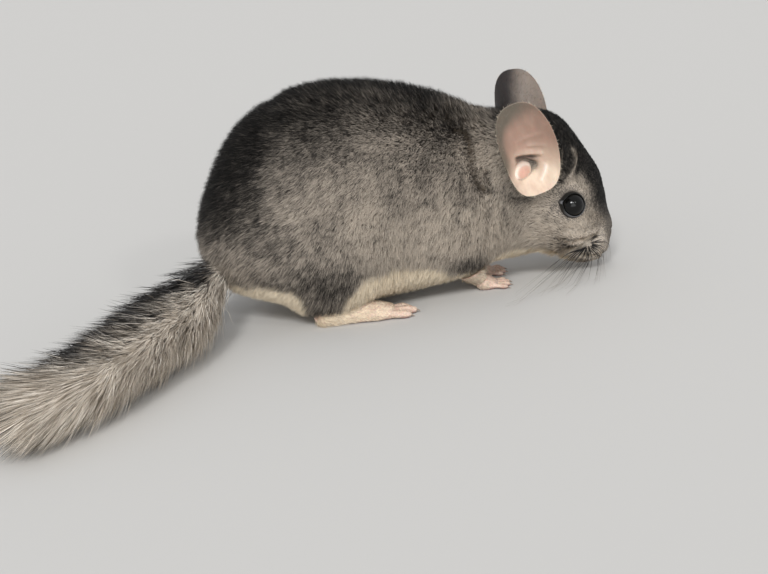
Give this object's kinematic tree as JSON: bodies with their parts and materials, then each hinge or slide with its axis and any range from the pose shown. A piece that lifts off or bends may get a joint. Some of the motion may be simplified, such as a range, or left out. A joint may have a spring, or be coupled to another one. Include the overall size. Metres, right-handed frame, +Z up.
{
  "type": "chinchilla",
  "caption": "Life-size chinchilla crouched on all fours, nose lowered to the ground, with round ears and a bushy tail laid out behind.",
  "frame": {"origin": "on the floor, under the middle of the animal's bounding box", "axes": "+X towards the nose, +Y to the animal's left, +Z up"},
  "size_m": [0.293, 0.2064, 0.113],
  "materials": {
    "body_fur": "dense grey plush, darker along the back and cream under the belly",
    "tail_fur": "coarse longer hair, dark along the top and beige grey below",
    "ear_skin": "thin bare skin with a fine down",
    "paw_skin": "short pale hair over pink skin",
    "eye": "wet and black"
  },
  "bodies": {
    "root": {"torso": "body_fur", "neck": "body_fur", "head": "body_fur", "haunch_left": "body_fur", "haunch_right": "body_fur", "foreleg_left": "body_fur", "foreleg_right": "body_fur", "tail": "tail_fur", "ear_left": "ear_skin", "ear_right": "ear_skin", "hind_foot_left": "paw_skin", "hind_foot_right": "paw_skin", "forepaw_left": "paw_skin", "forepaw_right": "paw_skin", "eye_left": "eye", "eye_right": "eye"}
  },
  "joints": []
}
